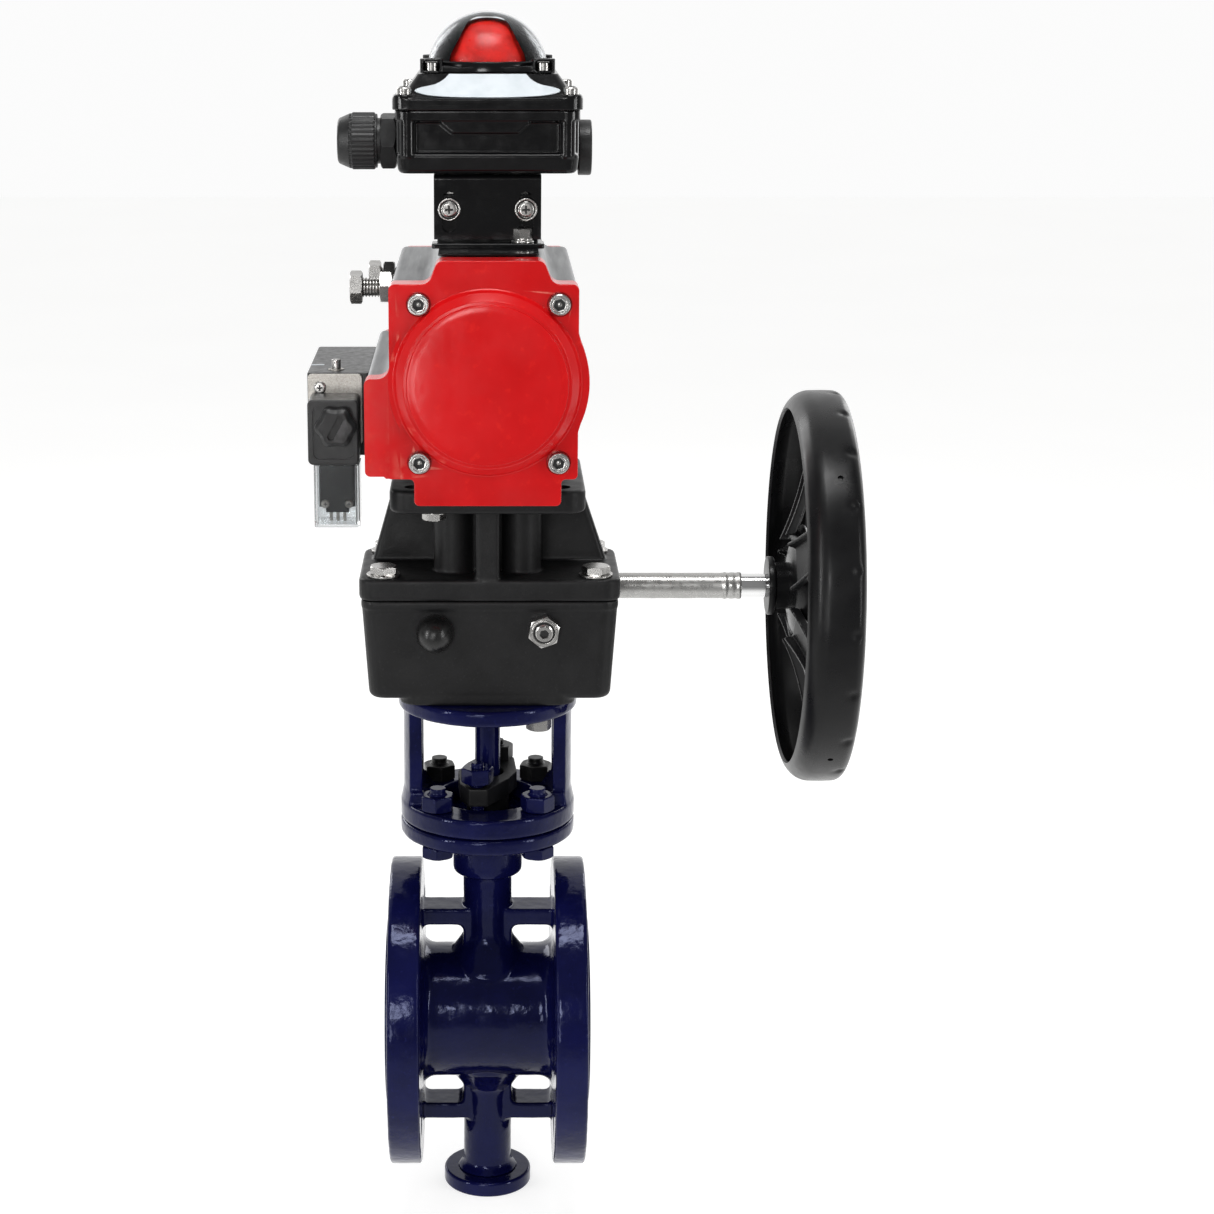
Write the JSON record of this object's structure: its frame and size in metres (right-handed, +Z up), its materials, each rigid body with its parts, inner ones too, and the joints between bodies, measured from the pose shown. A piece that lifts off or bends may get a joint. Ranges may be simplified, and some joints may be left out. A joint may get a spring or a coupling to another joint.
{
  "type": "quarter-turn flanged butterfly valve with pneumatic actuator",
  "caption": "Flanged butterfly valve turned by a spring-return rack-and-pinion actuator, with a declutchable handwheel gearbox, pilot solenoid and domed limit-switch box.",
  "frame": {"origin": "centre of the underside of the bottom cover, on the stem axis", "axes": "+Z up along the stem, +X along the pipe towards the handwheel, +Y away from the front cap"},
  "size_m": [0.2793, 0.2484, 0.629],
  "materials": {
    "blue_paint": "thick high-gloss navy enamel over a cast surface",
    "black_paint": "satin black powder coat over cast iron",
    "black_enamel": "glossy black coating",
    "red_paint": "glossy red powder coat",
    "anodised": "hard-anodised matt grey",
    "machined_steel": "turned stainless steel",
    "zinc_steel": "bright plated fastener steel",
    "chrome_shaft": "hard chrome, polished",
    "bronze": "machined bronze",
    "graphite": "compressed graphite, matt",
    "black_rubber": "smooth black rubber",
    "black_plastic": "fine moulded black plastic",
    "clear_plastic": "clear polycarbonate",
    "signal_red": "moulded signal-red plastic",
    "polished_disc": "machined valve trim"
  },
  "bodies": {
    "frame": {"valve_body": "blue_paint", "bottom_cover": "blue_paint", "gland_stud_front": "blue_paint", "yoke": "blue_paint", "yoke_bolt_1": "blue_paint", "yoke_bolt_2": "blue_paint", "gland_plate": "black_paint", "gland_follower": "black_paint", "gland_stud_rear": "black_paint", "yoke_bolt_3": "black_paint", "yoke_bolt_4": "black_paint", "gearbox_housing": "black_paint", "gearbox_cover": "black_paint", "seat_ring": "polished_disc", "front_spring": "machined_steel", "rear_spring": "machined_steel", "lower_bush": "bronze", "upper_bush": "bronze", "packing": "graphite", "cover_bolt_1": "zinc_steel", "cover_bolt_2": "zinc_steel", "cover_bolt_3": "zinc_steel", "cover_bolt_4": "zinc_steel", "stop_screw": "zinc_steel", "front_stroke_bolt": "zinc_steel", "rear_stroke_bolt": "zinc_steel", "stop_screw_cap": "black_rubber", "cylinder_body": "anodised", "front_end_cap": "red_paint", "rear_end_cap": "red_paint", "lower_bracket": "black_enamel", "upper_bracket": "black_enamel", "switch_housing": "black_enamel", "switch_cover": "black_enamel", "indicator_dome": "clear_plastic", "coil_connector": "clear_plastic", "microswitch_closed": "black_plastic", "microswitch_open": "black_plastic", "cable_gland": "black_plastic", "blanking_plug": "black_plastic", "solenoid_body": "black_plastic", "solenoid_coil": "black_plastic", "coil_nut": "black_plastic"},
    "stem_train": {"stem": "blue_paint", "disc": "polished_disc", "disc_seal_ring": "polished_disc", "disc_clamp_ring": "polished_disc", "disc_pin": "machined_steel", "worm_wheel": "machined_steel", "pinion": "machined_steel", "switch_shaft": "machined_steel", "indicator_rotor": "signal_red"},
    "front_piston": {"front_piston": "anodised"},
    "rear_piston": {"rear_piston": "anodised"},
    "declutch": {"declutch_sleeve": "machined_steel", "declutch_lever": "black_paint"},
    "worm": {"worm_shaft": "chrome_shaft", "handwheel": "black_paint", "handwheel_nut": "zinc_steel"},
    "override": {"override_button": "machined_steel"}
  },
  "joints": [
    {"name": "stem_turn", "type": "hinge", "parent": "frame", "child": "stem_train", "pos_m": [0, 0, 0], "axis": [0, 0, 1], "range_deg": [0, 90]},
    {"name": "front_piston_slide", "type": "slide", "parent": "frame", "child": "front_piston", "axis": [0, -1, 0], "range_m": [0, 0.02209]},
    {"name": "rear_piston_slide", "type": "slide", "parent": "frame", "child": "rear_piston", "axis": [0, 1, 0], "range_m": [0, 0.02209]},
    {"name": "declutch_turn", "type": "hinge", "parent": "frame", "child": "declutch", "pos_m": [0, 0.0402, 0.3257], "axis": [1, 0, 0], "range_deg": [0, 90]},
    {"name": "handwheel_turn", "type": "hinge", "parent": "declutch", "child": "worm", "pos_m": [0, 0.042, 0.3275], "axis": [1, 0, 0], "continuous": true},
    {"name": "override_press", "type": "slide", "parent": "frame", "child": "override", "axis": [0, 0, -1], "range_m": [0, 0.0025], "stiffness_N_per_m": 400}
  ],
  "couplings": [
    {"joint": "front_piston_slide", "follows": "stem_turn", "m_per_rad": 0.014},
    {"joint": "rear_piston_slide", "follows": "stem_turn", "m_per_rad": 0.014}
  ]
}
